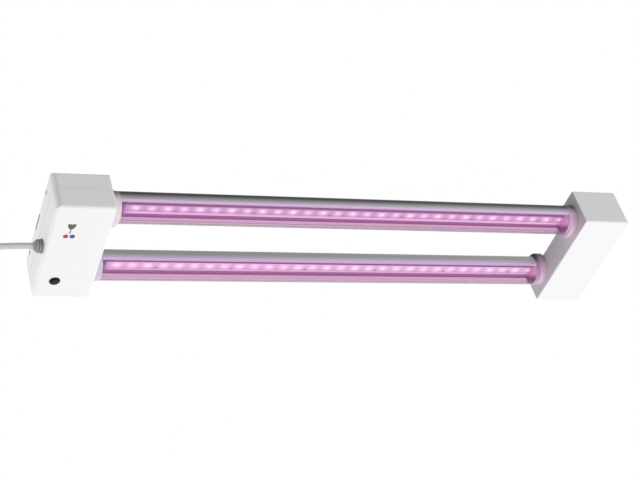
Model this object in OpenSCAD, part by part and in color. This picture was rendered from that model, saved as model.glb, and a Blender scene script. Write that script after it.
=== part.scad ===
// Twin-tube LED grow light that hangs with its LEDs facing down.
// Millimetres. X runs along the tubes, the corded cap at -X. +Z is up, towards the back.
// The origin is the centre of the four hanging eyes, in the plane of the back.

/* [Body] */
// Length over both caps, along X
body_len = 610; // [560:5:650]
// Width of the caps, along Y
body_w = 127.6; // [124:0.2:134]
// Thickness of the caps, along Z
body_h = 43.3; // [42:0.1:46]
// Length of the cap that holds the driver and the cord
cord_cap_len = 56; // [54:0.5:60]
// Length of the cap at the other end
end_cap_len = 53.4; // [52:0.2:58]
// Wall thickness of the cap shells
wall = 2.4; // [2:0.1:2.8]
// Height of the LED-side shell, from the LED-side face to the seam
led_shell_h = 23.6; // [23:0.1:25]
// Depth and height of the 45 degree relief on the inner back edge
relief = 14.6; // [10:0.1:15]
// Half the width of that relief
relief_half_w = 40; // [38:0.5:42]

/* [Tubes] */
// Outer radius of a tube
tube_r = 15.2; // [14.8:0.1:15.4]
// Distance between the two tube axes
tube_pitch = 82; // [81:0.2:84]
// Depth of the tube axes below the back
tube_depth = 20.95; // [20:0.05:22]
// Half the angle that the clear cover spans about straight down
cover_half_angle = 78; // [74:1:80]
// Length of a collar at the corded cap
cord_collar_len = 8.9; // [8:0.1:11]
// Length of a collar at the other cap
end_collar_len = 9.6; // [8:0.2:12]

/* [LEDs] */
// LEDs on each tube, bright and deep ones in turn
led_count = 30; // [24:2:30]
// Distance from one LED to the next
led_pitch = 15.9; // [15:0.1:16]
// Place of the first LED along X
led_first_x = -222.4; // [-224:0.1:-220]
// Length, width and height of an LED package
led_size = [3.5, 2.8, 0.75]; // [0.5:0.05:5]

/* [Power button] */
// Place of the button along X and Y
button_xy = [-287, 39.3]; // [-290:0.1:45]
// Radius of the button's cap
button_r = 3.7; // [3.5:0.1:4]
// Travel of the button
button_travel = 1.6; // [1:0.1:2]

/* [Hanging eyes] */
// Distance of an eye's hole from the cap's outer end
eye_inset = 6.5; // [6:0.1:8]
// Distance of an eye's hole from the middle, along Y
eye_y = 42; // [38:0.5:45]
// Radius of an eye's hole
eye_r = 2.5; // [2:0.1:2.6]

/* [Cord] */
// Diameter of the power cord
cord_d = 6; // [5.5:0.1:6.5]
// Height of the cord's exit below the back
cord_depth = 34.4; // [34:0.1:34.6]
// Radius of the coil's outer turns, at their middle
coil_r = 36.5; // [34:0.5:38]
// Distance between neighbouring turns of the coil
coil_pitch = 6.3; // [6.1:0.1:6.6]

/* [Hidden] */
$fn = 64;
eps = 0.01;
fit = 0.1;

x_cord_end = -body_len / 2;
x_cord_in = x_cord_end + cord_cap_len;
x_far_end = body_len / 2;
x_far_in = x_far_end - end_cap_len;
seam_z = led_shell_h - body_h;
tube_z = -tube_depth;
tube_y = tube_pitch / 2;
tube_x0 = x_cord_in + cord_collar_len;
tube_x1 = x_far_in - end_collar_len;

// Collar: the outer ring stands out towards the middle of the fixture
ring_r = 17.2;
ring_shift = 2.2;
ring_nose = 2.6;
ring_setback = 1.2;
neck_r = tube_r;
neck_len = 13;
flange_r = 17.4;
bore_r = 13.6;
plug_r = bore_r - fit;

// Tube section, measured from its axis, the LED side at -v
channel_t = 1.4;
web_v = 1.4;
web_t = 1.4;
rail_t = 1.2;
rail_drop = 2.6;
board_t = 1;
board_w = 10;
cover_t = 1;
tongue_t = 1.1;
tongue_angle = 71;

// Button, bezel and switch, measured from the LED-side face
dome_r = 12;
button_proud = 1.9;
stem_r = 1.6;
bezel_r = 4.4;
lip_r = 0.8;
switch_w = 12;
switch_base = 4;
switch_h = 8.4;
terminal_y = 3.2;

// Cap screws and their posts
post_r = 4.4;
screw_r = 1.4;
screw_head_r = 2.9;
screw_sink = 1;
screw_len = 29;
post_y = body_w / 2 - 7.3;
post_out = 7.5;
post_in = 35.5;

// Hanging eye: its boss, and the window in the end face that shows the hook's tip
eye_boss = [11, 10, 8.6];
eye_depth = 7;
eye_window = [4.8, 3.6];
vent = [21, 3.2];
vent_z = -5.8;

// Driver board, its parts hanging below it
board_x = [-300, -263];
board_y = [-27, 27];
board_z = -8;
driver_t = 1.6;
driver_screw_x = -284;
driver_screw_inset = 4;
driver_post_r = 2.6;
transformer_x = -274.5;
transformer_w = 18;
fuse_xy = [-292.5, -18.4];

// Strain relief and cord clamp
relief_r = 7;
relief_hole_r = 5.6;
relief_flange_r = 6.2;
clamp_x = 13;
clamp_len = 5;
clamp_w = 24;
clamp_screw_y = 9;
clamp_screw_r = 1;
clamp_base_z = -35.1;
clamp_top_z = -27.8;
cord_r = cord_d / 2;
lead_r = 0.9;
jumper_r = 0.7;
jumper_gap = 1.6;

// Printed sign: its middle, the leaves and the dots
mark_xy = [-286, -34];
mark_t = 0.12;
leaf_w = 5;
leaf_r = 5;
stem_len = 6.4;
stem_w = 1;
dot_r = 2.5;
dot_y = 9.8;

// Route of the free cord from the strain relief to the top of the coil
cord_route = [
    [-286, 0, -34.4], [-299, 0, -34.4], [-312, 0, -34.4], [-322, 0, -34.5], [-333, 0, -34.9], [-344, 0, -35.7],
    [-355, -0.5, -37.5], [-366, -2.5, -41.8], [-376, -7, -49], [-384, -13, -58.5],
    [-389.5, -19.5, -69.2], [-392, -24.5, -80.6], [-392, -26.5, -92], [-392, -24, -103],
    [-392, -18, -111], [-392, -10, -116], [-392, 0, -117.5]];
// Route of the short tail from the coil to the plug
tail_route = [
    [-385.8, 0, -123.8], [-385.7, 8, -124.6], [-385.7, 15.7, -127.2], [-385.7, 22.6, -131.4],
    [-385.7, 28.4, -137.6], [-385.7, 32.3, -146], [-385.7, 33.5, -155], [-385.7, 33.5, -168],
    [-385.7, 33.5, -181.9]];
coil_x = -392;
coil_z = -154;
coil_play = 0.3;
tie_w = 10;
tie_t = 1.2;
tie_angle = 14;
plug_xy = [-385.7, 33.5];
plug_top_z = -176;
plug_len = 52;
plug_w = [19, 25];
blade = [6.3, 1.5, 25];
blade_y = 6.35;
ground_x = 6.6;
ground_r = 2.35;

// ---- shared shapes ----

// Rectangle with corner radius ra on its low-x side and rb on its high-x side
module soft_rect(x0, x1, y0, y1, ra, rb) {
    polygon([[x0 + ra, y0], [x1 - rb, y0], [x1, y0 + rb], [x1, y1 - rb],
             [x1 - rb, y1], [x0 + ra, y1], [x0, y1 - ra], [x0, y0 + ra]]);
    for (y = [y0 + ra, y1 - ra]) translate([x0 + ra, y]) circle(ra);
    for (y = [y0 + rb, y1 - rb]) translate([x1 - rb, y]) circle(rb);
}

// Solid box between two corners
module block(a, b) translate(a) cube(b - a);

// Cylinder along X
module rod_x(x0, x1, y, z, r) translate([x0, y, z]) rotate([0, 90, 0]) cylinder(r = r, h = x1 - x0);

// Lays a (y, z) profile along X from x0 to x1
module along_x(x0, x1) translate([x0, 0, 0]) rotate([90, 0, 90]) linear_extrude(x1 - x0) children();

// Turns a (radius, distance along X) profile about an axis parallel to X
module turned_x(x, y, z) translate([x, y, z]) rotate([0, 90, 0]) rotate_extrude() children();

// Unit vector, and the direction of a route at its point i
function unit(v) = v / norm(v);
function tangent(p, i) = unit(p[min(i + 1, len(p) - 1)] - p[max(i - 1, 0)]);

// Round tube swept along points; side_ref is never parallel to the route
module swept_tube(p, r, sides, side_ref = [1, -1, -1]) {
    rings = [for (i = [0:len(p) - 1])
        let (t = tangent(p, i), u = unit(cross(t, side_ref)), w = cross(t, u))
        [for (k = [0:sides - 1]) p[i] + r * (cos(360 * k / sides) * u + sin(360 * k / sides) * w)]];
    points = [for (ring = rings) each ring];
    n = len(p);
    walls = [for (i = [0:n - 2]) for (k = [0:sides - 1])
        let (a = i * sides + k, b = i * sides + (k + 1) % sides)
        each [[a, a + sides, b + sides], [a, b + sides, b]]];
    first = [for (k = [0:sides - 1]) k];
    last = [for (k = [sides - 1:-1:0]) (n - 1) * sides + k];
    polyhedron(points, concat([first], walls, [last]));
}

// ---- cap shells; s is -1 for the corded cap and +1 for the other ----

function cap_end(s) = s < 0 ? x_cord_end : x_far_end;
function cap_in(s) = s < 0 ? x_cord_in : x_far_in;
function corner_r(s) = s < 0 ? 6 : 3;

// Rectangle in plan that follows the cap, inset by d
module cap_plan(s, d, r) {
    x0 = min(cap_end(s), cap_in(s)) + d;
    x1 = max(cap_end(s), cap_in(s)) - d;
    soft_rect(x0, x1, d - body_w / 2, body_w / 2 - d, s < 0 ? r : 1, s < 0 ? 1 : r);
}

module cap_block(s) {
    edge = s < 0 ? 2.6 : 1.6;
    x0 = min(cap_end(s), cap_in(s));
    x1 = max(cap_end(s), cap_in(s));
    intersection() {
        translate([0, 0, -body_h]) linear_extrude(body_h) cap_plan(s, 0, corner_r(s));
        along_x(x0 - 1, x1 + 1) soft_rect(-body_w / 2, body_w / 2, -body_h, 0, edge, edge);
        translate([0, body_w, 0]) rotate([90, 0, 0]) linear_extrude(2 * body_w)
            soft_rect(x0, x1, -body_h, 0, s < 0 ? edge : 1, s < 0 ? 1 : edge);
    }
}

// Wedge that the relief takes off the inner back edge, grown by t
module relief_wedge(s, t) {
    xi = cap_in(s);
    d = relief + 1.414 * t;
    translate([0, relief_half_w + t, 0]) rotate([90, 0, 0]) linear_extrude(2 * (relief_half_w + t))
        polygon([[xi - s * 5, 5], [xi - s * 5, -d - 5], [xi + s * (d + 5), 5]]);
}

module cap_cavity(s) difference() {
    translate([0, 0, wall - body_h]) linear_extrude(body_h - 2 * wall)
        cap_plan(s, wall, corner_r(s) - wall / 2);
    relief_wedge(s, wall);
}

// Openings for the two necks, through the inner wall and the relief
module neck_openings(s)
    for (y = [-tube_y, tube_y])
        rod_x(cap_in(s) - (s < 0 ? neck_len + 0.5 : 1), cap_in(s) + (s < 0 ? 1 : neck_len + 0.5),
              y, tube_z, neck_r + fit);

module seam_groove(s) translate([0, 0, seam_z - 0.3]) linear_extrude(0.6) difference() {
    square([2 * body_len, 2 * body_w], center = true);
    cap_plan(s, 0.5, corner_r(s));
}

module at_posts(s) for (x = [post_out, post_in]) for (y = [-post_y, post_y])
    translate([cap_end(s) - s * x, y, 0]) children();

module led_shell(s) color("white") difference() {
    union() {
        difference() {
            intersection() {
                cap_block(s);
                block([-body_len, -body_w, -2 * body_h], [body_len, body_w, seam_z]);
            }
            cap_cavity(s);
        }
        at_posts(s) translate([0, 0, wall / 2 - body_h]) cylinder(r = post_r, h = led_shell_h - wall / 2);
        if (s < 0) clamp_posts();
    }
    at_posts(s) translate([0, 0, -screw_len - 0.5]) cylinder(r = screw_r + 0.05, h = screw_len);
    neck_openings(s);
    seam_groove(s);
    if (s < 0) {
        rod_x(x_cord_end - 5, x_cord_end + 5, 0, -cord_depth, relief_hole_r + 0.05);
        at_button() translate([0, 0, -1]) cylinder(r = bezel_r + 0.15, h = 6);
        at_clamp_screws() translate([0, 0, wall + 1.6 - body_h]) cylinder(r = clamp_screw_r + 0.05, h = 30);
    }
}

module at_clamp_screws() for (y = [-clamp_screw_y, clamp_screw_y])
    translate([x_cord_end + clamp_x + clamp_len / 2, y, 0]) children();

// Two posts and a saddle under the cord, inside the corded cap
module clamp_posts() {
    floor_z = wall / 2 - body_h;
    at_clamp_screws() translate([0, 0, floor_z]) cylinder(r = 3, h = clamp_base_z - floor_z);
    block([x_cord_end + clamp_x, -6.6, floor_z],
          [x_cord_end + clamp_x + clamp_len, 6.6, -cord_depth - cord_r - fit]);
}

module eye_body(s) {
    x_end = cap_end(s) - s * wall / 2;
    x_deep = x_end - s * eye_boss[0];
    for (y = [-eye_y, eye_y])
        block([min(x_end, x_deep), y - eye_boss[1] / 2, -eye_boss[2]],
              [max(x_end, x_deep), y + eye_boss[1] / 2, -wall / 2]);
}

module eye_holes(s) for (y = [-eye_y, eye_y]) {
    x_hole = cap_end(s) - s * eye_inset;
    x_out = cap_end(s) + s;
    translate([x_hole, y, -eye_depth]) cylinder(r = eye_r, h = eye_depth + 1);
    block([min(x_hole, x_out), y - eye_window[0] / 2, -eye_depth],
          [max(x_hole, x_out), y + eye_window[0] / 2, eye_window[1] - eye_depth]);
}

module back_shell(s) color("gainsboro") difference() {
    union() {
        difference() {
            intersection() {
                cap_block(s);
                block([-body_len, -body_w, seam_z], [body_len, body_w, body_h]);
            }
            cap_cavity(s);
        }
        at_posts(s) translate([0, 0, seam_z]) cylinder(r = post_r, h = -seam_z - wall / 2);
        eye_body(s);
        if (s < 0) at_driver_screws() translate([0, 0, board_z + driver_t])
            cylinder(r = driver_post_r, h = -board_z - driver_t - wall / 2);
    }
    relief_wedge(s, 0);
    at_posts(s) {
        translate([0, 0, seam_z - 1]) cylinder(r = screw_r + 0.25, h = 30);
        translate([0, 0, -screw_sink - 2]) cylinder(r = screw_head_r + 0.3, h = 5);
    }
    neck_openings(s);
    seam_groove(s);
    eye_holes(s);
    if (s < 0) {
        block([x_cord_end - 1, -vent[0] / 2, vent_z], [x_cord_end + wall + 1, vent[0] / 2, vent_z + vent[1]]);
        at_driver_screws() translate([0, 0, board_z]) cylinder(r = 1.05, h = 6);
    }
}

module at_driver_screws() for (y = [board_y[0] + driver_screw_inset, board_y[1] - driver_screw_inset])
    translate([driver_screw_x, y, 0]) children();

// ---- collars and end plugs; s picks the cap, t is -1 near and +1 far ----

module collar(s, t) color("white") {
    out_len = s < 0 ? cord_collar_len : end_collar_len;
    xi = cap_in(s);
    ring_len = out_len - ring_setback;
    mirror([s > 0 ? 1 : 0, 0, 0]) {
        x = -abs(xi);
        difference() {
            union() {
                rod_x(x, x + out_len, t * tube_y, tube_z, tube_r);
                turned_x(x + fit, t * (tube_y - ring_shift), tube_z) {
                    square([ring_r, ring_len - ring_nose]);
                    square([ring_r - ring_nose, ring_len]);
                    translate([ring_r - ring_nose, ring_len - ring_nose]) circle(ring_nose);
                }
                rod_x(x - neck_len, x + 1, t * tube_y, tube_z, neck_r);
                intersection() {
                    rod_x(x - wall - 2, x - wall - fit, t * tube_y, tube_z, flange_r);
                    block([x - 20, t * tube_y - 20, -40], [x, t * tube_y + 20, -19]);
                }
            }
            rod_x(x - neck_len - 1, x + out_len + 1, t * tube_y, tube_z, bore_r);
        }
    }
}

// Disc in the collar's bore with two holes for the jumper wires
module end_plug(s, t) color("whitesmoke") {
    out_len = s < 0 ? cord_collar_len : end_collar_len;
    mirror([s > 0 ? 1 : 0, 0, 0]) {
        x = -abs(cap_in(s));
        difference() {
            union() {
                rod_x(x + out_len - 4, x + out_len - fit, t * tube_y, tube_z, plug_r);
                rod_x(x - 2, x + out_len - 3, t * tube_y, tube_z - 4, 5);
            }
            for (y = [-1.6, 1.6]) rod_x(x - 3, x + out_len + 1, t * tube_y + y, tube_z - 4, 0.9);
        }
    }
}

// ---- tube parts; t is -1 near and +1 far ----

// Part of a ring between two radii and two angles, measured from straight down
module ring_sector(r0, r1, a0, a1) intersection() {
    difference() {
        circle(r1);
        circle(r0);
    }
    polygon(concat([[0, 0]], [for (i = [0:8])
        let (a = a0 + (a1 - a0) * i / 8) 2 * r1 * [sin(a), -cos(a)]]));
}

module tube_profile(t) along_x(tube_x0, tube_x1) translate([t * tube_y, tube_z]) children();

module channel(t) color("silver") tube_profile(t) {
    inner = tube_r - channel_t;
    lip = cover_half_angle + 0.4;
    for (side = [-1, 1]) ring_sector(inner, tube_r, side * lip, side * 180.5);
    half_web = sqrt(inner * inner - (web_v + web_t / 2) * (web_v + web_t / 2)) + 0.3;
    translate([-half_web, web_v]) square([2 * half_web, web_t]);
    // two rails that hold the board's edges and shade the sides of the channel
    for (side = [-1, 1]) translate([side * (board_w / 2 + fit + rail_t / 2) - rail_t / 2, web_v - rail_drop])
        square([rail_t, rail_drop + web_t / 2]);
}

module cover(t) color([0.96, 0.8, 0.95, 0.5]) tube_profile(t) {
    ring_sector(tube_r - cover_t, tube_r, -cover_half_angle, cover_half_angle);
    // tongues that run behind the channel's lips
    for (side = [-1, 1]) {
        ring_sector(tube_r - channel_t - tongue_t, tube_r - cover_t + 0.1,
                    side * tongue_angle, side * (cover_half_angle - 0.2));
        ring_sector(tube_r - channel_t - tongue_t, tube_r - channel_t - fit,
                    side * tongue_angle, side * (cover_half_angle + 12));
    }
}

module led_board(t) color("white")
    block([tube_x0 + 1, t * tube_y - board_w / 2, tube_z + web_v - board_t],
          [tube_x1 - 1, t * tube_y + board_w / 2, tube_z + web_v]);

// One LED package with its round lens well
module led_package(x, t) {
    z = tube_z + web_v - board_t;
    difference() {
        translate([x - led_size[0] / 2, t * tube_y - led_size[1] / 2, z - led_size[2]]) cube(led_size);
        translate([x, t * tube_y, z - led_size[2] - 1]) cylinder(r = 1.1, h = 1.2);
    }
}

module bright_leds(t) color("mistyrose")
    for (i = [0:2:led_count - 1]) led_package(led_first_x + i * led_pitch, t);

module deep_leds(t) color("hotpink")
    for (i = [1:2:led_count - 1]) led_package(led_first_x + i * led_pitch, t);

// Chip resistors beside every fifth LED
module resistors(t) color("dimgray")
    for (i = [2:5:led_count - 1])
        translate([led_first_x + (i + 0.5) * led_pitch - 1, t * tube_y + 2.6, tube_z + web_v - board_t - 0.5])
            cube([2, 1.25, 0.5]);

// ---- power button and switch ----

module at_button() translate([button_xy[0], button_xy[1], -body_h]) children();

// Domed cap on a stem that reaches into the switch
module power_button() color("black") at_button() {
    intersection() {
        translate([0, 0, -2.5]) cylinder(r = button_r, h = 4.7);
        translate([0, 0, dome_r - button_proud]) sphere(r = dome_r);
    }
    translate([0, 0, 2]) cylinder(r = stem_r, h = switch_base);
}

module button_bezel() color("black") at_button() difference() {
    union() {
        rotate_extrude() intersection() {
            translate([bezel_r, -0.1]) circle(lip_r);
            translate([0, -3]) square([8, 3]);
        }
        translate([0, 0, -0.8]) cylinder(r = bezel_r, h = 4.6);
    }
    translate([0, 0, -5]) cylinder(r = button_r + 0.1, h = 10);
}

module switch_body() color("dimgray") at_button() difference() {
    translate([-switch_w / 2, -switch_w / 2, switch_base]) cube([switch_w, switch_w, switch_h]);
    translate([0, 0, switch_base - 1]) cylinder(r = stem_r + 0.15, h = button_travel + 3.6);
}

module switch_terminals() color("silver") at_button() for (y = [-terminal_y, terminal_y])
    translate([-0.4, y - 1, switch_base + switch_h]) cube([0.8, 2, 4.5]);

// ---- driver; each part hangs from the board's lower face ----

module under_board(x, y) translate([x, y, board_z]) children();

// Box centred on the origin in plan, between two depths below the board
module hanging_box(size_x, size_y, top, bottom)
    translate([-size_x / 2, -size_y / 2, -bottom]) cube([size_x, size_y, bottom - top]);

module driver_board() color("seagreen") difference() {
    block([board_x[0], board_y[0], board_z], [board_x[1], board_y[1], board_z + driver_t]);
    at_driver_screws() translate([0, 0, board_z - 1]) cylinder(r = 1.4, h = 4);
}

module driver_screws() color("silver") at_driver_screws() {
    translate([0, 0, board_z - 1.3]) cylinder(r = 2.2, h = 1.3);
    translate([0, 0, board_z - 0.1]) cylinder(r = 1, h = 4.6);
}

// Bobbin foot, core, and the winding that shows at the core's two open sides
module driver_transformer() color("gold") under_board(transformer_x, 0) {
    hanging_box(17, transformer_w, 0, 3.2);
    hanging_box(13, transformer_w - 3, 3.2, 13);
    difference() {
        hanging_box(10, transformer_w, 4, 12.2);
        for (side = [-1, 1]) translate([0, side * (transformer_w / 2 - 0.85), 0])
            hanging_box(13, 1.3, 5.6, 10.6);
    }
}

// Each can: place, radius and height, with a groove near its base
module driver_capacitors() color("midnightblue")
    for (can = [[-274, 16.5, 5, 11.5], [-274, -17, 4, 10.5], [-292, 11, 3.2, 10]])
        under_board(can[0], can[1]) translate([0, 0, -can[3]]) {
            cylinder(r = can[2] - 0.4, h = can[3]);
            cylinder(r = can[2], h = can[3] - 2);
            translate([0, 0, can[3] - 1.2]) cylinder(r = can[2], h = 1.2);
        }

// Bridge rectifier with four legs, and the controller chip beside it
module driver_rectifier() color("dimgray") {
    under_board(-293.5, -10.5) {
        hanging_box(7, 7, 0, 2.8);
        for (x = [-4.1, 4.1]) for (y = [-2, 2]) translate([x, y, 0]) hanging_box(1.2, 1, 0, 0.8);
    }
    under_board(-293.5, -1) hanging_box(5, 6, 0, 1.7);
}

// Glass tube with a metal cap on each end
module driver_fuse() color("tan") {
    z = board_z - 3.4;
    rod_x(fuse_xy[0] - 6, fuse_xy[0] + 6, fuse_xy[1], z, 2.6);
    for (x = [-6.5, 3.5]) rod_x(fuse_xy[0] + x, fuse_xy[0] + x + 3, fuse_xy[1], z, 2.9);
}

// ---- fasteners ----

module cross_recess(z, depth) translate([0, 0, z]) for (a = [0, 90])
    rotate([0, 0, a]) translate([-1.7, -0.35, -depth]) cube([3.4, 0.7, depth + 1]);

module cap_screws(s) color("silver") at_posts(s) difference() {
    union() {
        translate([0, 0, -screw_sink - 1.9]) cylinder(r = screw_head_r, h = 1.9);
        translate([0, 0, -screw_len]) cylinder(r = screw_r, h = screw_len - 2);
    }
    cross_recess(-screw_sink, 1.2);
}

// ---- cord entry ----

// Ribbed grommet: a tapered nose outside, a groove on the wall and a flange inside
module strain_relief() color("gray") difference() {
    union() {
        translate([x_cord_end, 0, -cord_depth]) rotate([0, -90, 0]) {
            cylinder(r = relief_r, h = 1.3);
            cylinder(r = 5, h = 7);
            translate([0, 0, 2.2]) cylinder(r1 = 6.7, r2 = 6.5, h = 1.3);
            translate([0, 0, 4.4]) cylinder(r1 = 6.4, r2 = 6.2, h = 1.3);
            translate([0, 0, 6.2]) cylinder(r1 = 5.6, r2 = 4.4, h = 1.1);
            translate([0, 0, 7.3]) cylinder(r1 = 4.3, r2 = 3.6, h = 1.2);
        }
        rod_x(x_cord_end - eps, x_cord_end + wall + 0.5, 0, -cord_depth, relief_hole_r);
        rod_x(x_cord_end + wall + fit, x_cord_end + wall + 2, 0, -cord_depth, relief_flange_r);
        translate([x_cord_end + wall, 0, -cord_depth]) rotate([0, 90, 0]) cylinder(r1 = 4.6, r2 = 3.8, h = 10);
    }
    rod_x(x_cord_end - 20, x_cord_end + 20, 0, -cord_depth, cord_r + 0.02);
}

// Bar that pinches the jacket onto the saddle, with its two screws
module cord_clamp() color("whitesmoke") {
    x0 = x_cord_end + clamp_x;
    channel_r = cord_r + fit;
    difference() {
        block([x0, -clamp_w / 2, clamp_base_z], [x0 + clamp_len, clamp_w / 2, clamp_top_z]);
        rod_x(x0 - 1, x0 + clamp_len + 1, 0, -cord_depth, channel_r);
        block([x0 - 1, -channel_r, clamp_base_z - 1], [x0 + clamp_len + 1, channel_r, -cord_depth]);
        at_clamp_screws() translate([0, 0, clamp_base_z - 1]) cylinder(r = clamp_screw_r + 0.2, h = 12);
    }
}

module clamp_screws() color("silver") at_clamp_screws() difference() {
    union() {
        translate([0, 0, clamp_top_z]) cylinder(r = 2.2, h = 1.5);
        translate([0, 0, clamp_top_z - 10]) cylinder(r = clamp_screw_r, h = 10.5);
    }
    translate([-1.3, -0.3, clamp_top_z + 0.8]) cube([2.6, 0.6, 1]);
}

// Leads from the jacket to the switch and the board, and from the switch to the board
module supply_wires() {
    color("black") swept_tube([[-285.7, 1.2, -34.4], [-282, 3, -34], [-279.5, 10, -31], [-280, 22, -26.5],
        [-284, 31, -22.6], [-286.4, 35, -21.6], [-287, 36.1, -23.6], [-287, 36.1, -26.2]], lead_r, 6, [1, 0.3, -2]);
    color("black") swept_tube([[-287, 42.5, -26.2], [-287, 42.4, -23], [-287.6, 40.4, -19.6], [-289, 33, -17],
        [-290, 26, -13.5], [-290, 25.5, -8.1]], lead_r, 6, [1, 0, 0]);
    color("white") swept_tube([[-285.7, -1.2, -34.4], [-281.5, -3, -34], [-278, -8, -31.5], [-276.5, -15, -28],
        [-276, -22, -23], [-276, -24.5, -16], [-276, -24.5, -8.1]], lead_r, 6, [1, 0.6, 0.6]);
}

// Two leads from the board to one tube, through the collar's disc to the LED board
module jumper_wires(t) color("white") for (k = [-1, 1]) {
    y = t * (tube_y + jumper_gap * k);
    x_board = -266 - 1.5 * k;
    disc_z = tube_z - 4;
    pad_z = tube_z + web_v - board_t - jumper_r - 0.1;
    swept_tube([
        [x_board, t * 24, board_z - 0.1], [x_board, t * 24.5, -15], [x_board + 0.2, t * 27.5, -21],
        [-263.5 - k, t * (33.5 + k), -24.4], [-258, y - t * 2, disc_z], [-250, y, disc_z],
        [tube_x0 + 0.4, y, disc_z], [tube_x0 + 2.6, y, disc_z + 1.1],
        [tube_x0 + 4.6, y, pad_z - 0.4], [tube_x0 + 7, y, pad_z]], jumper_r, 6, [1, 0, -1]);
}

// ---- free cord and its plug ----

module cord_run() color("gainsboro") swept_tube(cord_route, cord_r, 10);

module cord_tail() color("gainsboro") swept_tube(tail_route, cord_r, 10, [1, 0.2, 0.1]);

// Outer shape of the tied coil, its axis along X
module cord_coil() color("gainsboro") {
    half = cord_r + coil_play;
    turned_x(coil_x, 0, coil_z)
        soft_rect(coil_r - coil_pitch - half, coil_r + half, -2 * coil_pitch - half, half, 3, 3);
}

// Strap round the coil and the tail beside it, just past the point where the cord joins the coil
module cord_tie() color("black") translate([coil_x, 0, coil_z]) rotate([-tie_angle, 0, 0])
    translate([0, tie_w / 2, 0]) rotate([90, 0, 0]) linear_extrude(tie_w) difference() {
        x0 = -2 * coil_pitch - cord_r - 1;
        x1 = coil_pitch + cord_r + 1;
        r0 = coil_r - coil_pitch - cord_r - 1;
        r1 = coil_r + cord_r + 1;
        soft_rect(x0 - tie_t, x1 + tie_t, r0 - tie_t, r1 + tie_t, 3.6, 3.6);
        soft_rect(x0, x1, r0, r1, 2.4, 2.4);
    }

module at_plug() translate([plug_xy[0], plug_xy[1], plug_top_z]) children();

// Plan of the plug's body, grown by d, with corner radius r
module plug_plan(d, r)
    soft_rect(-plug_w[0] / 2 - d, plug_w[0] / 2 + d, -plug_w[1] / 2 - d, plug_w[1] / 2 + d, r, r);

// Moulded plug, its blades pointing down
module plug_body() color("gainsboro") at_plug() difference() {
    union() {
        translate([0, 0, -22]) cylinder(r1 = 5.6, r2 = 3.9, h = 22);
        for (z = [-18:4:-6]) translate([0, 0, z]) cylinder(r = 5.7 - z / 80, h = 1.6);
        intersection() {
            translate([0, 0, -plug_len]) linear_extrude(32) plug_plan(0, 5);
            translate([0, 0, -plug_len]) rotate_extrude()
                polygon([[0, 0], [13.6, 0], [13.6, 22], [7, 32], [0, 32]]);
        }
        translate([0, 0, -plug_len]) linear_extrude(4) plug_plan(1, 6);
    }
    translate([0, 0, -6]) cylinder(r = cord_r + 0.02, h = 7);
    // finger grooves
    for (side = [-1, 1]) for (z = [-44:4:-36])
        translate([side * 10.4, 7, z]) rotate([90, 0, 0]) cylinder(r = 1.3, h = 14);
    for (y = [-blade_y, blade_y])
        translate([-3.45, y - blade[1] / 2, -plug_len - 1]) cube([blade[0], blade[1], 8.5]);
    translate([ground_x, 0, -plug_len - 1]) cylinder(r = ground_r + 0.02, h = 8.4);
}

module plug_blades() color("goldenrod") at_plug() for (y = [-blade_y, blade_y]) difference() {
    translate([-3.45, y - blade[1] / 2, 7.5 - plug_len - blade[2]]) cube(blade);
    translate([-0.3, y + 2, -plug_len - 14]) rotate([90, 0, 0]) cylinder(r = 1.5, h = 4);
}

module plug_ground_pin() color("goldenrod") at_plug() translate([ground_x, 0, -plug_len - 18.6]) {
    cylinder(r = ground_r, h = 26);
    sphere(r = ground_r);
}

// Plain printed sign: a pair of leaves on a stem, over a red and a blue dot for the two colours of light
module printed_mark() translate([mark_xy[0], mark_xy[1], -body_h - mark_t]) {
    color("dimgray") linear_extrude(mark_t) {
        for (side = [-1, 1]) translate([side * leaf_w / 2, 0.2]) rotate(-side * 40) intersection() {
            translate([-leaf_w / 2, -leaf_w]) circle(leaf_r);
            translate([leaf_w / 2, -leaf_w]) circle(leaf_r);
        }
        translate([-stem_w / 2, -leaf_w]) square([stem_w, leaf_w + stem_len]);
    }
    color("crimson") translate([-dot_r - 0.6, dot_y]) cylinder(r = dot_r, h = mark_t);
    color("navy") translate([dot_r + 0.6, dot_y]) cylinder(r = dot_r, h = mark_t);
}

led_shell(-1);  // cord_cap_led_shell
back_shell(-1);  // cord_cap_back_shell
led_shell(1);  // end_cap_led_shell
back_shell(1);  // end_cap_back_shell
collar(-1, -1);  // near_cord_collar
collar(-1, 1);  // far_cord_collar
collar(1, -1);  // near_end_collar
collar(1, 1);  // far_end_collar
end_plug(-1, -1);  // near_cord_end_plug
end_plug(-1, 1);  // far_cord_end_plug
end_plug(1, -1);  // near_end_end_plug
end_plug(1, 1);  // far_end_end_plug
channel(-1);  // near_channel
channel(1);  // far_channel
cover(-1);  // near_cover
cover(1);  // far_cover
led_board(-1);  // near_led_board
led_board(1);  // far_led_board
bright_leds(-1);  // near_bright_leds
bright_leds(1);  // far_bright_leds
deep_leds(-1);  // near_deep_leds
deep_leds(1);  // far_deep_leds
resistors(-1);  // near_resistors
resistors(1);  // far_resistors
power_button();
button_bezel();
switch_body();
switch_terminals();
driver_board();
driver_transformer();
driver_capacitors();
driver_rectifier();
driver_fuse();
driver_screws();
cap_screws(-1);  // cord_cap_screws
cap_screws(1);  // end_cap_screws
strain_relief();
cord_clamp();
clamp_screws();
supply_wires();
jumper_wires(-1);  // near_jumper_wires
jumper_wires(1);  // far_jumper_wires
cord_run();
cord_coil();
cord_tail();
cord_tie();
plug_body();
plug_blades();
plug_ground_pin();
printed_mark();
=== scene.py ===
import math

import bmesh
import bpy
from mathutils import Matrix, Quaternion, Vector


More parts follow.
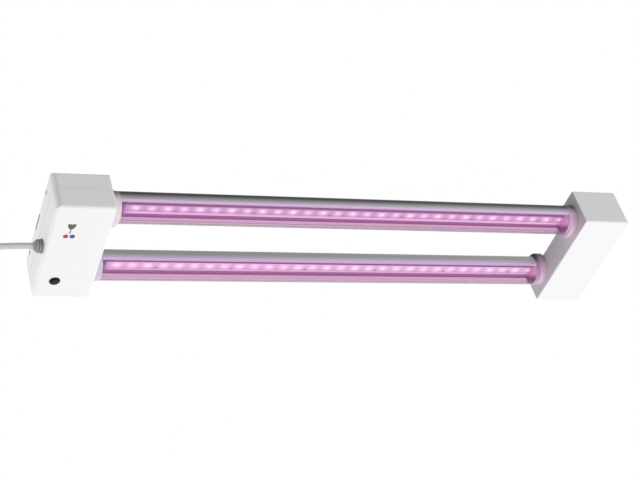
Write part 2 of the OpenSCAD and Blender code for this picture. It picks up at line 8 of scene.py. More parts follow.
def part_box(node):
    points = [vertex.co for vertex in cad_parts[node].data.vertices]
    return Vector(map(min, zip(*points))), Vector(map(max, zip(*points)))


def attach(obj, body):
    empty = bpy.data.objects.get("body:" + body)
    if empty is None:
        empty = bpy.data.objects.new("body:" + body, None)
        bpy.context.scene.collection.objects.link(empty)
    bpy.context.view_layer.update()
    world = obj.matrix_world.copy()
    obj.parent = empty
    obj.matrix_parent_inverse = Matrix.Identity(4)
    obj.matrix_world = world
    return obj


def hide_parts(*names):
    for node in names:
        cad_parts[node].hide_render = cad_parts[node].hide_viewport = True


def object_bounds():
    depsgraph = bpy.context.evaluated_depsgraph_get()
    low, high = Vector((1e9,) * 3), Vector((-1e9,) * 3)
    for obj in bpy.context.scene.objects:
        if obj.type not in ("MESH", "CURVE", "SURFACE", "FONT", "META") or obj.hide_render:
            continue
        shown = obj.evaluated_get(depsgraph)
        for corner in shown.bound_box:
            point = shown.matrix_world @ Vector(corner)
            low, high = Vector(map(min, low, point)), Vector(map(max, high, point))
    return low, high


# Looks of a hanging twin-tube LED grow light. Metres, in the row frame: X along the tubes, the
# corded cap at -X, +Z up, the LEDs facing -Z.

MM = 0.001
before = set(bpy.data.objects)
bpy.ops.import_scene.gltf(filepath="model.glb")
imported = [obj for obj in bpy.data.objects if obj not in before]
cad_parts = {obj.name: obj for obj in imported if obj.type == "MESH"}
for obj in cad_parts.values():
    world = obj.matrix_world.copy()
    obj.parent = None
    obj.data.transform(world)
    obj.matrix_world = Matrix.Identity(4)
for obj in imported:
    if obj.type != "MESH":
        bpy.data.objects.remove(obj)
cad_low, cad_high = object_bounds()
BODY = "fixture"

# ---- places, read from the frame ----

SIDES = ("near", "far")
channel_box = {side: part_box(side + "_channel") for side in SIDES}
TUBE_Y = {side: (channel_box[side][0].y + channel_box[side][1].y) / 2 for side in SIDES}
TUBE_R = (channel_box["near"][1].y - channel_box["near"][0].y) / 2
TUBE_Z = channel_box["near"][1].z - TUBE_R
TUBE_X = (channel_box["near"][0].x, channel_box["near"][1].x)
BOARD_FACE_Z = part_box("near_led_board")[0].z
LED_FACE_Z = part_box("near_bright_leds")[0].z
LED_LENGTH = 3.5 * MM
LED_PITCH = 15.9 * MM
FIRST_LED_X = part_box("near_bright_leds")[0].x + LED_LENGTH / 2
LEDS_OF_A_KIND = 15
BOARD_HALF_W = (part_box("near_led_board")[1].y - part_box("near_led_board")[0].y) / 2
TONGUE_R = TUBE_R - 2 * MM  # inside this radius, the cover is its tongues
LIP_ANGLE = 78  # of the cover, from straight down


# ---- camera: low at the corded end, looking up along the tubes ----

CAMERA_PLACE = (-0.63587, -1.06203, -0.97073)
CAMERA_AIM = (-0.01303, 0.01392, -0.00712)
CAMERA_ROLL = -18.334
CAMERA_LENS = 87.04


def make_camera():
    data = bpy.data.cameras.new("camera")
    data.sensor_width = 36
    data.lens = CAMERA_LENS
    camera = bpy.data.objects.new("camera", data)
    bpy.context.scene.collection.objects.link(camera)
    look = Vector(CAMERA_AIM) - Vector(CAMERA_PLACE)
    camera.location = CAMERA_PLACE
    camera.rotation_mode = "QUATERNION"
    roll = Quaternion((0, 0, 1), math.radians(CAMERA_ROLL))
    camera.rotation_quaternion = look.to_track_quat("-Z", "Y") @ roll
    bpy.context.scene.camera = camera


# ---- the power cord ----

CORD_D = 6 * MM
RUN_POINTS = [
    (-286, 0, -34.4), (-299, 0, -34.4), (-312, 0, -34.4), (-322, 0, -34.5), (-333, 0, -34.9),
    (-344, 0, -35.7), (-355, -0.5, -37.5), (-366, -2.5, -41.8), (-376, -7, -49), (-384, -13, -58.5),
    (-389.5, -19.5, -69.2), (-392, -24.5, -80.6), (-392, -26.5, -92), (-392, -24, -103),
    (-392, -18, -111), (-392, -10, -116), (-392, 0, -117.5)]
TAIL_POINTS = [
    (-385.8, 0, -123.8), (-385.7, 8, -124.6), (-385.7, 15.7, -127.2), (-385.7, 22.6, -131.4),
    (-385.7, 28.4, -137.6), (-385.7, 32.3, -146), (-385.7, 33.5, -155), (-385.7, 33.5, -168),
    (-385.7, 33.5, -181.9)]
COIL_X = -392
COIL_Z = -154
COIL_R = 36.5
COIL_PITCH = 6.3
OUTER_TURNS = 3
COIL_TURNS = 2 * OUTER_TURNS
STEPS_A_TURN = 24
CORD_SIDES = 14
PARTS = 3  # curve steps between two points of the route
CROSSING = 0.28  # the last share of a turn, in which the cord moves over to the next place


def coil_points():
    """Three turns side by side, then three inside them on the way back, from the coil's top."""
    points = []
    for step in range(1, COIL_TURNS * STEPS_A_TURN):
        turn, part = divmod(step, STEPS_A_TURN)
        share = part / STEPS_A_TURN
        moved = max(0.0, (share - 1 + CROSSING) / CROSSING)
        moved = moved * moved * (3 - 2 * moved)
        radius = COIL_R
        if turn < OUTER_TURNS - 1:
            x = COIL_X - COIL_PITCH * (turn + moved)
        elif turn == OUTER_TURNS - 1:
            x = COIL_X - COIL_PITCH * turn
            radius -= COIL_PITCH * moved
        else:
            x = COIL_X + COIL_PITCH * (turn + 1 - COIL_TURNS + moved)
            radius -= COIL_PITCH
        angle = 2 * math.pi * share
        points.append((x, radius * math.sin(angle), COIL_Z + radius * math.cos(angle)))
    return points


def smooth_route(points):
    """Points on a smooth curve through the given ones, PARTS of them to each."""
    ends = [2 * points[0] - points[1], *points, 2 * points[-1] - points[-2]]
    route = []
    for a, b, c, d in zip(ends, ends[1:], ends[2:], ends[3:]):
        for part in range(PARTS):
            t = part / PARTS
            route.append((2 * b + (c - a) * t + (2 * a - 5 * b + 4 * c - d) * t * t
                          + (3 * b - a - 3 * c + d) * t * t * t) / 2)
    return route + [points[-1]]


def tube(name, route, radius, sides):
    """A closed round tube along the route, without twist."""
    bm = bmesh.new()
    across_it = None
    rings = []
    for i, point in enumerate(route):
        along = (route[min(i + 1, len(route) - 1)] - route[max(i - 1, 0)]).normalized()
        across_it = (across_it or along.orthogonal()).cross(along).cross(along).normalized() * -1
        up = along.cross(across_it)
        angles = [2 * math.pi * k / sides for k in range(sides)]
        rings.append([bm.verts.new(point + radius * (math.cos(a) * across_it + math.sin(a) * up))
                      for a in angles])
    for a, b in zip(rings, rings[1:]):
        for k in range(sides):
            n = (k + 1) % sides
            bm.faces.new((a[k], a[n], b[n], b[k]))
    bm.faces.new(rings[0][::-1])
    bm.faces.new(rings[-1])
    mesh = bpy.data.meshes.new(name)
    bm.to_mesh(mesh)
    bm.free()
    for polygon in mesh.polygons:
        polygon.use_smooth = len(polygon.vertices) == 4
    made = bpy.data.objects.new(name, mesh)
    bpy.context.scene.collection.objects.link(made)
    return made


def make_cord():
    route = smooth_route([Vector(point) * MM for point in RUN_POINTS + coil_points() + TAIL_POINTS])
    cord = tube("power_cord", route, CORD_D / 2, CORD_SIDES)
    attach(cord, BODY)
    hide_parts("cord_run", "cord_coil", "cord_tail")
    return cord, [tuple(point) for point in route]


make_camera()
power_cord, cord_path = make_cord()


# ---- building blocks for materials ----

class Look:
    """A material with one Principled shader, and short calls that add nodes to it."""

    def __init__(self, name, **values):
        self.material = bpy.data.materials.new(name)
        self.material.use_nodes = True
        self.tree = self.material.node_tree
        self.shader = self.tree.nodes["Principled BSDF"]
        for socket, value in values.items():
            self.shader.inputs[socket.replace("_", " ")].default_value = value

    def node(self, kind, *inputs, output=0, **settings):
        made = self.tree.nodes.new("ShaderNode" + kind)
        for key, value in settings.items():
            setattr(made, key, value)
        for socket, value in zip(made.inputs, inputs):
            self.put(socket, value)
        return made.outputs[output]

    def put(self, socket, value):
        if isinstance(value, bpy.types.NodeSocket):
            self.tree.links.new(value, socket)
        else:
            socket.default_value = value

    def math(self, operation, *inputs, clamp=False):
        return self.node("Math", *inputs, operation=operation, use_clamp=clamp)

    def vector(self, operation, *inputs):
        return self.node("VectorMath", *inputs, operation=operation)

    def mix(self, share, a, b):
        made = self.tree.nodes.new("ShaderNodeMix")
        made.data_type = "RGBA"
        self.put(made.inputs[0], share)
        self.put(made.inputs[6], a if isinstance(a, bpy.types.NodeSocket) else (*a, 1))
        self.put(made.inputs[7], b if isinstance(b, bpy.types.NodeSocket) else (*b, 1))
        return made.outputs[2]

    def place(self, scale=(1, 1, 1), shift=(0, 0, 0)):
        """The point in the row frame, scaled after the shift."""
        here = self.node("TexCoord", output=3)
        return self.vector("MULTIPLY", self.vector("ADD", here, shift), scale)

    def noise(self, scale, detail=3.0, roughness=0.5, at=None):
        made = self.tree.nodes.new("ShaderNodeTexNoise")
        self.put(made.inputs["Vector"], at or self.place())
        self.put(made.inputs["Scale"], scale)
        self.put(made.inputs["Detail"], detail)
        self.put(made.inputs["Roughness"], roughness)
        return made.outputs["Fac"]

    def smooth(self, value, low, high, to_low=0.0, to_high=1.0):
        made = self.tree.nodes.new("ShaderNodeMapRange")
        made.interpolation_type = "SMOOTHSTEP"
        for socket, number in zip(made.inputs, (value, low, high, to_low, to_high)):
            self.put(socket, number)
        return made.outputs[0]

    def bump(self, height, distance):
        made = self.tree.nodes.new("ShaderNodeBump")
        self.put(made.inputs["Height"], height)
        self.put(made.inputs["Distance"], distance)
        self.put(made.inputs["Strength"], 1)
        return made.outputs[0]

    def set(self, **values):
        for socket, value in values.items():
            self.put(self.shader.inputs[socket.replace("_", " ")], value)
        return self


def give(look, *names):
    """Puts a material on CAD nodes, or on pieces made here."""
    for name in names:
        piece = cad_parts.get(name) or bpy.data.objects[name]
        piece.data.materials.clear()
        piece.data.materials.append(look.material)


def both(*names):
    return [f"{side}_{name}" for side in SIDES for name in names]


# ---- plastics and rubber ----

def moulded(name, colour, roughness, grain=0.35 * MM, depth=0.012 * MM, tint=0.03):
    """Moulded plastic: fine spark-eroded grain, faint flow clouds, and a slightly uneven gloss."""
    look = Look(name, Specular_IOR_Level=0.45)
    clouds = look.noise(26, 4, 0.6)
    shade = look.mix(look.math("MULTIPLY", clouds, tint), colour, tuple(c * 0.72 for c in colour))
    fine = look.noise(1 / grain, 2, 0.5)
    rough = look.smooth(look.noise(90, 3), 0.25, 0.75, roughness - 0.05, roughness + 0.07)
    return look.set(Base_Color=shade, Roughness=rough, Normal=look.bump(fine, depth))


def black_gloss(name, grey, roughness):
    look = Look(name, Specular_IOR_Level=0.16)
    dust = look.smooth(look.noise(700, 5, 0.7), 0.55, 0.8, 0, 0.5)
    shade = look.mix(dust, (grey, grey, grey), (grey * 2 + 0.01,) * 3)
    return look.set(Base_Color=shade, Roughness=roughness,
                    Normal=look.bump(look.noise(3600, 2), 0.006 * MM))


def rubber(name, colour):
    look = Look(name, Roughness=0.62, Specular_IOR_Level=0.35)
    speckle = look.smooth(look.noise(900, 4, 0.7), 0.35, 0.7)
    pale = tuple(min(1, c * 1.9) for c in colour)
    shade = look.mix(look.math("MULTIPLY", speckle, 0.35), colour, pale)
    return look.set(Base_Color=shade, Normal=look.bump(look.noise(1500, 3), 0.02 * MM))


def jacket(name, colour):
    """Extruded cord jacket: soft sheen, fine ripple and handling marks."""
    look = Look(name, Specular_IOR_Level=0.4)
    marks = look.smooth(look.noise(60, 5, 0.65), 0.45, 0.75)
    shade = look.mix(look.math("MULTIPLY", marks, 0.25), colour, tuple(c * 0.78 for c in colour))
    rough = look.smooth(look.noise(140, 3), 0.3, 0.7, 0.42, 0.56)
    return look.set(Base_Color=shade, Roughness=rough,
                    Normal=look.bump(look.noise(700, 4, 0.6), 0.03 * MM))


def woven(name, colour):
    """Woven strap: crossing threads about 0.5 mm apart."""
    look = Look(name, Roughness=0.85, Specular_IOR_Level=0.25)
    waves = []
    for axis in ((0, 1, 0.35), (0, -0.35, 1), (1, 0, 0)):
        wave = look.node("TexWave", look.place(axis), wave_type="BANDS", bands_direction="DIAGONAL")
        wave.node.inputs["Scale"].default_value = 420
        wave.node.inputs["Distortion"].default_value = 0.6
        waves.append(wave.node.outputs["Fac"])
    weave = look.math("MULTIPLY", look.math("MAXIMUM", waves[0], waves[1]),
                      look.math("ADD", waves[2], 0.4))
    raised = tuple(c * 2.6 + 0.01 for c in colour)
    shade = look.mix(look.math("MULTIPLY", weave, 0.6, clamp=True), colour, raised)
    return look.set(Base_Color=shade, Normal=look.bump(weave, 0.12 * MM))


# ---- metals ----

def metal(name, colour, roughness):
    look = Look(name, Metallic=1.0)
    lines = look.noise(2500, 3, 0.6)
    rough = look.smooth(lines, 0.2, 0.8, roughness - 0.08, roughness + 0.1)
    stain = look.math("MULTIPLY", look.noise(70, 4), 0.5)
    shade = look.mix(stain, colour, tuple(c * 0.7 for c in colour))
    return look.set(Base_Color=shade, Roughness=rough, Normal=look.bump(lines, 0.006 * MM))


# ---- painted light and shade inside a tube ----

# Colours of painted light and shade in the tubes: LIT and SHADED inside them, BLUISH and REDDISH at
# their ends, UNLIT beside the corded collars
LIT = (0.95, 0.48, 0.82)
SHADED = (0.3, 0.1, 0.27)
BLUISH = (0.26, 0.14, 0.5)
REDDISH = (0.5, 0.08, 0.27)
UNLIT = (0.06, 0.02, 0.07)
LEAN = {"near": 0.6 * MM, "far": -0.4 * MM}  # of a tube's painted light and dark bands towards +Y
# painted shade: the near-black of the dark band along a tube's top
TOP_SHADE_BLACK = (0.05, 0.05, 0.052)
SKIN_T = 0.9 * MM  # how deep inside a tube's outline its outer look reaches
RAIL_REACH = 0.4 * MM  # of the rails, beyond the board
TRACK_Y = 3.4 * MM  # of the board's two copper tracks
HALO_Y = 5 * MM  # of the painted light round an LED
BRIGHT_HALO_X = 6.2 * MM
DEEP_HALO_X = 5.4 * MM


def painted_end_light(look, colour):
    """Painted light at a tube's ends: bluer at its corded end, painted shade right beside its
    collar, redder at the other end.
    """
    x = look.node("SeparateXYZ", look.place())
    start = look.smooth(x, TUBE_X[0], FIRST_LED_X - 2 * MM, 0.8, 0)
    beside_collar = look.smooth(x, TUBE_X[0] + 5.4 * MM, TUBE_X[0] + 8.6 * MM, 0.85, 0)
    stop = look.smooth(x, TUBE_X[1] - 9 * MM, TUBE_X[1], 0, 0.6)
    return look.mix(beside_collar, look.mix(stop, look.mix(start, colour, BLUISH), REDDISH), UNLIT)


def top_shade_band(look, y, z, darkest, low=66, high=98):
    """A band of painted shade along a tube, darkest below low, gone at high: degrees from its top
    towards -Y.
    """
    around = look.math("ARCTAN2", look.math("MULTIPLY", y, -1), z)
    below = look.smooth(around, math.radians(low), math.radians(high), darkest, 0)
    return look.math("MULTIPLY", below, look.smooth(around, math.radians(26), math.radians(48)))


def across(look, side):
    """How far a point is to the side of a tube's axis, and above it."""
    parts = look.node("SeparateXYZ", look.place(shift=(0, -TUBE_Y[side], -TUBE_Z)))
    return parts.node.outputs[1], parts.node.outputs[2]


def from_axis(look, y, z):
    squares = [look.math("MULTIPLY", part, part) for part in (y, z)]
    return look.math("SQRT", look.math("ADD", *squares))


def spots(look, first, width):
    """1 beside every second LED from first, falling off along X over width."""
    x = look.node("SeparateXYZ", look.place(shift=(-first, 0, 0)))
    off = look.math("PINGPONG", x, LED_PITCH)
    near = look.math("DIVIDE", off, width)
    return look.math("EXPONENT", look.math("MULTIPLY", look.math("MULTIPLY", near, near), -1))


def led_board(side, bright, deep, between):
    """White board with copper tracks, with painted light round the bright and deep LEDs and a dim
    painted glow between them; its dark pink base is painted shade.
    """
    look = Look(side + "_board", Roughness=0.5, Specular_IOR_Level=0.3)
    y, _ = across(look, side)
    beside = look.math("DIVIDE", y, HALO_Y)
    row = look.math("EXPONENT", look.math("MULTIPLY", look.math("MULTIPLY", beside, beside), -1))
    halo = look.math("ADD", look.math("MULTIPLY", spots(look, FIRST_LED_X, BRIGHT_HALO_X), bright),
                     look.math("MULTIPLY", spots(look, FIRST_LED_X + LED_PITCH, DEEP_HALO_X), deep))
    light = look.math("MULTIPLY", halo, row, clamp=True)
    from_track = look.math("ABSOLUTE", look.math("SUBTRACT", look.math("ABSOLUTE", y), TRACK_Y))
    track = look.smooth(from_track, 0.5 * MM, 0.7 * MM)
    # painted shade: the white board and its tracks get dark pink base colours
    base = look.mix(track, (0.22, 0.1, 0.2), (0.28, 0.13, 0.26))
    base = look.mix(look.math("MULTIPLY", look.noise(400, 3), 0.3), base, (0.22, 0.1, 0.2))
    colour = painted_end_light(look, look.mix(light, between, (1.0, 0.7, 0.95)))
    return look.set(Base_Color=base, Emission_Color=colour, Emission_Strength=1.0)


def channel(side, darkest):
    """Brushed aluminium outside, with a painted lavender light band beside the lip and a painted
    shade band along the top; inside, painted light on the rails and painted shade elsewhere, over a
    dark pink base that is painted shade.
    """
    look = Look(side + "_aluminium")
    y, z = across(look, side)
    far = from_axis(look, y, z)
    beside = look.math("ABSOLUTE", look.math("SUBTRACT", y, LEAN[side]))
    inside = look.smooth(far, TUBE_R - SKIN_T, TUBE_R - 0.5 * MM, 1, 0)
    lines = look.noise(900, 3, 0.6, look.place((0.02, 1, 1)))
    around = look.math("ADD", look.math("ARCTAN2", y, z), 2 * LEAN[side] / TUBE_R)
    around = look.math("ABSOLUTE", around)
    outer = look.mix(look.math("MULTIPLY", lines, 0.3), (0.52, 0.5, 0.53), (0.4, 0.385, 0.41))
    # painted light: the LEDs' lavender glow on the outside beside the lip
    lip_light = look.smooth(around, math.radians(84), math.radians(104))
    outer = look.mix(lip_light, outer, (0.74, 0.62, 0.8))
    # painted shade: the dark band along the top
    outer = look.mix(top_shade_band(look, y, z, darkest), outer, TOP_SHADE_BLACK)
    # painted light on the rails, painted shade elsewhere inside
    rail_edge = BOARD_HALF_W + RAIL_REACH
    rail = look.smooth(beside, rail_edge, rail_edge + 0.5 * MM, 1, 0)
    glow = painted_end_light(look, look.mix(rail, SHADED, LIT))
    lit = look.math("ADD", look.math("MULTIPLY", rail, 0.25), 0.55)
    # painted shade: the dark pink base colour inside
    base = look.mix(inside, outer, (0.2, 0.1, 0.19))
    metallic = look.math("MULTIPLY", look.math("SUBTRACT", 1, inside), 0.75)
    rough = look.smooth(lines, 0.2, 0.8, 0.34, 0.5)
    return look.set(Base_Color=base, Metallic=metallic, Roughness=rough, Emission_Color=glow,
                    Emission_Strength=look.math("MULTIPLY", inside, lit),
                    Normal=look.bump(lines, 0.01 * MM))


def cover(side, edge_light):
    """Clear polycarbonate: clear straight on, milky at a slant, with painted light where light
    leaves it at the lip and the tongues, over a dark pinkish base that is painted shade.
    """
    look = Look(side + "_clear_cover", Roughness=0.12, Specular_IOR_Level=0.4)
    y, z = across(look, side)
    far = from_axis(look, y, z)
    around = look.math("ARCTAN2", y, look.math("MULTIPLY", z, -1))
    around = look.math("ABSOLUTE", look.math("SUBTRACT", around, LEAN[side] / TUBE_R))
    edge = look.smooth(around, math.radians(LIP_ANGLE - 5), math.radians(LIP_ANGLE - 3))
    tongue = look.smooth(far, TONGUE_R - 0.2 * MM, TONGUE_R, 1, 0)
    skin = look.smooth(far, TUBE_R - SKIN_T, TUBE_R - 0.5 * MM)
    lip = look.math("MULTIPLY", edge, skin)
    beside_it = look.smooth(around, math.radians(LIP_ANGLE - 12), math.radians(LIP_ANGLE - 8))
    side_glow = look.math("MULTIPLY", beside_it, tongue)
    slant = look.node("LayerWeight", 0.5, output=1)
    film = look.smooth(look.math("POWER", slant, 2.2), 0, 1, 0.05, 0.9)
    alpha = look.math("MAXIMUM", look.math("MAXIMUM", film, look.math("MULTIPLY", lip, 0.85)),
                      look.math("MULTIPLY", side_glow, 0.85))
    streaks = look.noise(500, 2, 0.5, look.place((0.03, 1, 1)))
    # painted shade: the dark pinkish colour the cover shows at a slant
    shade = look.mix(streaks, (0.24, 0.15, 0.225), (0.29, 0.185, 0.27))
    # painted light: the pink glow of the lip and the tongues
    pinker = look.smooth(y, -6 * MM, 6 * MM)
    glow = look.mix(pinker, (0.84, 0.64, 0.95), (0.92, 0.56, 0.76))
    strength = look.math("ADD", look.math("MULTIPLY", lip, edge_light),
                         look.math("MULTIPLY", side_glow, 0.64))
    return look.set(Base_Color=shade, Alpha=alpha, Emission_Color=glow, Emission_Strength=strength,
                    Normal=look.bump(streaks, 0.01 * MM))


def collar(name, side, darkest, tint):
    """White plastic tinted pink by painted light from the tube, with the same painted shade band as
    the aluminium.
    """
    look = Look(name, Roughness=0.4)
    y, z = across(look, side)
    clouds = look.noise(30, 3)
    white = look.mix(look.math("MULTIPLY", clouds, 0.08), tint, tuple(c * 0.7 for c in tint))
    # painted shade: the dark band along the collar's top
    shade = look.mix(top_shade_band(look, y, z, darkest, 54, 112), white, (0.06, 0.06, 0.06))
    return look.set(Base_Color=shade, Normal=look.bump(look.noise(2800, 2), 0.01 * MM))


SLANT_Y, SLANT_Z = 0.67, 0.74  # across a tube, from its board towards +Y and down


def plug_disc(side):
    """White plastic inside a tube's end, with painted light from the LEDs near the board and
    painted shade away from it.
    """
    look = Look(side + "_end_plug_white", Roughness=0.5)
    y, z = across(look, side)
    down = look.math("SUBTRACT", look.math("MULTIPLY", y, SLANT_Y),
                     look.math("MULTIPLY", z, SLANT_Z))
    shade = look.smooth(down, 3 * MM, 9 * MM)
    base = look.mix(shade, (0.36, 0.22, 0.34), (0.1, 0.05, 0.1))
    glow = look.mix(shade, (0.27, 0.13, 0.23), (0.06, 0.015, 0.06))
    return look.set(Base_Color=base, Emission_Color=glow, Emission_Strength=1.0,
                    Normal=look.bump(look.noise(2600, 2), 0.01 * MM))


def glowing(name, colour, strength):
    """An LED's own surface, with a slightly grainy phosphor."""
    look = Look(name, Roughness=0.4)
    grain = look.noise(3000, 2)
    light = look.mix(grain, colour, tuple(c * 0.86 for c in colour))
    return look.set(Base_Color=(0.3, 0.2, 0.28, 1), Emission_Color=light,
                    Emission_Strength=look.math("MULTIPLY", look.math("ADD", grain, 0.5), strength))


# ---- inner parts ----

def board_green():
    look = Look("circuit_board", Roughness=0.4)
    tracks = look.node("TexVoronoi", look.place((1, 1, 0)))
    tracks.node.inputs["Scale"].default_value = 240
    lines = look.smooth(tracks.node.outputs["Distance"], 0.28, 0.34)
    shade = look.mix(lines, (0.05, 0.3, 0.12), (0.02, 0.16, 0.06))
    return look.set(Base_Color=shade, Normal=look.bump(lines, 0.03 * MM))


def dress_tube(side, darkest, tint, halo, edge_light):
    give(channel(side, darkest), side + "_channel")
    give(cover(side, edge_light), side + "_cover")
    give(led_board(side, *halo), side + "_led_board")
    give(collar(side + "_cord_collar_white", side, darkest, tint), side + "_cord_collar")
    give(collar(side + "_end_collar_white", side, 0.9, (0.78, 0.55, 0.74)), side + "_end_collar")
    give(plug_disc(side), side + "_cord_end_plug", side + "_end_end_plug")


def dress_cad():
    give(moulded("cord_cap_white", (0.86, 0.86, 0.86), 0.42),
         "cord_cap_led_shell", "cord_cap_back_shell")
    give(moulded("end_cap_white", (0.872, 0.862, 0.884), 0.42),
         "end_cap_led_shell", "end_cap_back_shell")
    # Per tube: strength of the painted top shade, painted light tint of the corded collar, painted
    # board light, and painted light at the lip
    dress_tube("near", 1.0, (0.7, 0.62, 0.66), (0.66, 0.6, (0.26, 0.117, 0.236)), 0.56)
    dress_tube("far", 0.0, (0.6, 0.5, 0.59), (0.8, 0.82, (0.34, 0.21, 0.285)), 0.68)
    give(glowing("bright_led", (1.0, 0.69, 0.95), 0.85), *both("bright_leds"))
    give(glowing("deep_led", (1.0, 0.6, 0.9), 0.8), *both("deep_leds"))
    # painted light: the resistors are tinted pink for the LEDs' light
    give(moulded("chip", (0.42, 0.22, 0.4), 0.5), *both("resistors"))
    give(black_gloss("button_black", 0.012, 0.4), "power_button")
    give(black_gloss("bezel_black", 0.004, 0.55), "button_bezel")
    give(moulded("switch_black", (0.03, 0.03, 0.032), 0.5), "switch_body", "driver_rectifier")
    tinned = metal("tinned_steel", (0.62, 0.61, 0.58), 0.35)
    give(tinned, "switch_terminals", "clamp_screws", "driver_screws")
    give(metal("screw_steel", (0.42, 0.42, 0.43), 0.32), "cord_cap_screws", "end_cap_screws")
    give(board_green(), "driver_board")
    tape = moulded("transformer_tape", (0.75, 0.5, 0.05), 0.45, 0.5 * MM, 0.02 * MM, 0.2)
    give(tape, "driver_transformer")
    sleeve = moulded("capacitor_sleeve", (0.02, 0.025, 0.09), 0.3, 0.5 * MM, 0.01 * MM, 0.3)
    give(sleeve, "driver_capacitors")
    give(moulded("fuse_ceramic", (0.7, 0.62, 0.48), 0.35), "driver_fuse")
    give(moulded("clamp_nylon", (0.8, 0.79, 0.76), 0.45), "cord_clamp")
    give(rubber("grey_rubber", (0.34, 0.34, 0.35)), "strain_relief")
    give(jacket("black_lead", (0.02, 0.02, 0.02)), "supply_wires")
    # painted light: the white jumper leads are darkened and tinted pink for the LEDs' light
    give(jacket("white_lead", (0.42, 0.26, 0.42)), *both("jumper_wires"))
    give(jacket("cord_jacket", (0.6, 0.6, 0.61)), "power_cord")
    give(moulded("plug_vinyl", (0.58, 0.58, 0.59), 0.5, 0.5 * MM, 0.02 * MM), "plug_body")
    give(metal("brass", (0.72, 0.52, 0.22), 0.26), "plug_blades", "plug_ground_pin")
    give(woven("tie_fabric", (0.015, 0.015, 0.016)), "cord_tie")
    give(ink(), "printed_mark")


DOTS_W = 5.2 * MM  # of the mark's strip that the red and blue dots are in


def ink():
    """Pad-printed ink in dark grey, red and blue, by the part of the sign that it lies on."""
    low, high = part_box("printed_mark")
    look = Look("printed_ink", Roughness=0.35)
    parts = look.node("SeparateXYZ", look.place(shift=(-(low.x + high.x) / 2, -low.y, 0)))
    x, y = parts.node.outputs[0], parts.node.outputs[1]
    dots_from = high.y - low.y - DOTS_W
    on_dots = look.smooth(y, dots_from, dots_from + 0.1 * MM)
    dot = look.mix(look.smooth(x, -0.1 * MM, 0.1 * MM), (0.42, 0.02, 0.06), (0.03, 0.05, 0.28))
    shade = look.mix(on_dots, (0.09, 0.09, 0.095), dot)
    worn = look.smooth(look.noise(1400, 4, 0.7), 0.62, 0.75, 0, 0.3)
    return look.set(Base_Color=look.mix(worn, shade, (0.8, 0.8, 0.8)))


dress_cad()


# ---- small pieces on the LED boards ----

def add_mesh(name, bm, look):
    mesh = bpy.data.meshes.new(name)
    bm.to_mesh(mesh)
    bm.free()
    for polygon in mesh.polygons:
        polygon.use_smooth = True
    piece = bpy.data.objects.new(name, mesh)
    bpy.context.scene.collection.objects.link(piece)
    mesh.materials.append(look.material)
    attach(piece, BODY)
    return piece


LENS_R = 1.06 * MM
LENS_H = 0.5 * MM
LENS_RINGS = 5
LENS_SIDES = 20
LENS_SINK = 0.19 * MM  # of a dome's flat base into its package's well
SOLDER_REACH = 0.7 * MM
SOLDER_HALF_W = 1.1 * MM
SOLDER_H = 0.35 * MM
SOLDER_STEPS = (0, 0.35, 0.7, 1)


def add_dome(bm, centre):
    """A closed silicone dome that bulges towards -Z from its flat base."""
    rings = []
    for ring in range(LENS_RINGS):
        angle = math.pi / 2 * ring / LENS_RINGS
        r, drop = LENS_R * math.cos(angle), LENS_H * math.sin(angle)
        rings.append([bm.verts.new(centre + Vector((r * math.cos(t), r * math.sin(t), -drop)))
                      for t in (2 * math.pi * k / LENS_SIDES for k in range(LENS_SIDES))])
    tip = bm.verts.new(centre - Vector((0, 0, LENS_H)))
    bm.faces.new(rings[0])
    for lower, upper in zip(rings, rings[1:]):
        for k in range(LENS_SIDES):
            n = (k + 1) % LENS_SIDES
            bm.faces.new((lower[n], lower[k], upper[k], upper[n]))
    for k in range(LENS_SIDES):
        bm.faces.new((rings[-1][(k + 1) % LENS_SIDES], rings[-1][k], tip))


def make_lenses():
    kinds = {"bright": (FIRST_LED_X, glowing("bright_lens", (1.0, 0.79, 0.96), 0.95)),
             "deep": (FIRST_LED_X + LED_PITCH, glowing("deep_lens", (1.0, 0.65, 0.9), 0.85))}
    for side in SIDES:
        for kind, (first, look) in kinds.items():
            bm = bmesh.new()
            for i in range(LEDS_OF_A_KIND):
                x = first + 2 * i * LED_PITCH
                add_dome(bm, Vector((x, TUBE_Y[side], LED_FACE_Z + LENS_SINK)))
            add_mesh(f"{side}_{kind}_lenses", bm, look)


def add_fillet(bm, x0, x1, y):
    """A solder joint: a wedge that is high at x0, against the package, and thin at x1."""
    rows = []
    for share in SOLDER_STEPS:
        x = x0 + (x1 - x0) * share
        h = SOLDER_H * (1 - share) ** 1.6 + 0.03 * MM
        inset = 0.12 * MM * share
        rows.append([bm.verts.new((x, y + s * (SOLDER_HALF_W - inset), BOARD_FACE_Z - d))
                     for s, d in ((-1, 0), (-0.8, h), (0.8, h), (1, 0))])
    faces = [rows[0][::-1], rows[-1]]
    for a, b in zip(rows, rows[1:]):
        for k in range(4):
            n = (k + 1) % 4
            faces.append((a[k], a[n], b[n], b[k]))
    for face in faces:
        bm.faces.new(face)


def make_solder():
    # painted light: the solder's pink tint and glow stand in for the LEDs' light on it
    look = metal("solder", (0.85, 0.7, 0.84), 0.45)
    look.set(Emission_Color=(0.8, 0.5, 0.78, 1), Emission_Strength=0.5)
    for side in SIDES:
        bm = bmesh.new()
        for i in range(2 * LEDS_OF_A_KIND):
            x = FIRST_LED_X + i * LED_PITCH
            for end in (-1, 1):
                x0 = x + end * LED_LENGTH / 2
                add_fillet(bm, x0, x0 + end * SOLDER_REACH, TUBE_Y[side])
        bmesh.ops.recalc_face_normals(bm, faces=bm.faces)
        add_mesh(f"{side}_solder_joints", bm, look)


make_lenses()
make_solder()


# ---- stage and light ----

FLOOR_DROP = 3.2
FLOOR_R = 14
AMBIENT = 0.75
AMBIENT_TILT = (0.66, 0.12, -0.46)  # how much brighter it is from a metre along each axis


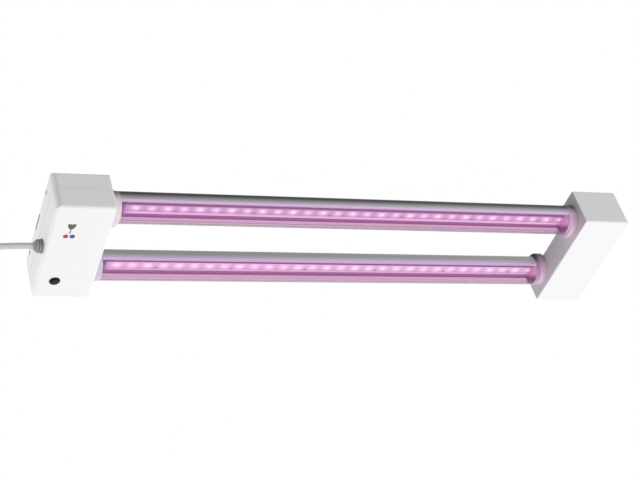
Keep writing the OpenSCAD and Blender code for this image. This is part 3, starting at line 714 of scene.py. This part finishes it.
def make_floor():
    bm = bmesh.new()
    bmesh.ops.create_circle(bm, cap_ends=True, segments=96, radius=FLOOR_R)
    mesh = bpy.data.meshes.new("floor")
    bm.to_mesh(mesh)
    bm.free()
    floor = bpy.data.objects.new("floor", mesh)
    floor.location.z = -FLOOR_DROP
    bpy.context.scene.collection.objects.link(floor)
    look = Look("pale_floor", Roughness=0.9)
    tone = look.mix(look.noise(0.8, 2), (0.93, 0.93, 0.93), (0.97, 0.97, 0.97))
    look.set(Base_Color=tone, Emission_Color=(1, 1, 1, 1), Emission_Strength=0.25)
    mesh.materials.append(look.material)
    floor.visible_diffuse = floor.visible_glossy = floor.visible_shadow = False


def make_world():
    """White behind the object; softer light, a little stronger from some sides, on it."""
    world = bpy.data.worlds.new("studio")
    world.use_nodes = True
    tree = world.node_tree
    nodes, links = tree.nodes, tree.links
    nodes.clear()
    ray = nodes.new("ShaderNodeLightPath")
    toward = nodes.new("ShaderNodeTexCoord")
    tilt = nodes.new("ShaderNodeVectorMath")
    tilt.operation = "DOT_PRODUCT"
    tilt.inputs[1].default_value = AMBIENT_TILT
    links.new(toward.outputs["Generated"], tilt.inputs[0])
    level = nodes.new("ShaderNodeMath")
    level.operation = "ADD"
    level.inputs[1].default_value = AMBIENT
    links.new(tilt.outputs["Value"], level.inputs[0])
    soft, white = nodes.new("ShaderNodeBackground"), nodes.new("ShaderNodeBackground")
    links.new(level.outputs[0], soft.inputs["Strength"])
    soft.inputs["Color"].default_value = white.inputs["Color"].default_value = (1, 1, 1, 1)
    mix, out = nodes.new("ShaderNodeMixShader"), nodes.new("ShaderNodeOutputWorld")
    links.new(ray.outputs["Is Camera Ray"], mix.inputs[0])
    links.new(soft.outputs[0], mix.inputs[1])
    links.new(white.outputs[0], mix.inputs[2])
    links.new(mix.outputs[0], out.inputs[0])
    bpy.context.scene.world = world


def area_light(name, place, size, power, colour=(1, 1, 1)):
    """A lamp that shines towards -Z and isn't seen itself."""
    data = bpy.data.lights.new(name, "AREA")
    data.shape = "RECTANGLE"
    data.size, data.size_y = size
    data.energy = power
    data.color = colour
    light = bpy.data.objects.new(name, data)
    bpy.context.scene.collection.objects.link(light)
    light.location = place
    light.visible_camera = False
    return light


END_FILL_SHIFT = (-0.3, 0.06, 0.06)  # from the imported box's corded end
END_FILL_SIZE = (0.2, 0.2)
END_FILL_POWER = 1.3
LED_LIGHT_W = 3 * MM
LED_LIGHT_MARGIN = 6 * MM  # between its ends and the tube's
LED_LIGHT_GAP = 0.8 * MM  # between it and the LEDs
LED_LIGHT_POWER = 0.05
LED_LIGHT_COLOUR = (1.0, 0.35, 0.8)


def make_lights():
    corded_end = Vector((cad_low.x, 0, TUBE_Z))
    place = corded_end + Vector(END_FILL_SHIFT)
    light = area_light("end_fill", place, END_FILL_SIZE, END_FILL_POWER)
    light.rotation_euler = (corded_end - place).to_track_quat("-Z", "Y").to_euler()
    size = (TUBE_X[1] - TUBE_X[0] - 2 * LED_LIGHT_MARGIN, LED_LIGHT_W)
    for side in SIDES:
        place = ((TUBE_X[0] + TUBE_X[1]) / 2, TUBE_Y[side], LED_FACE_Z - LED_LIGHT_GAP)
        area_light(side + "_led_light", place, size, LED_LIGHT_POWER, LED_LIGHT_COLOUR)


make_floor()
make_world()
make_lights()
bpy.context.scene.view_settings.view_transform = "Standard"
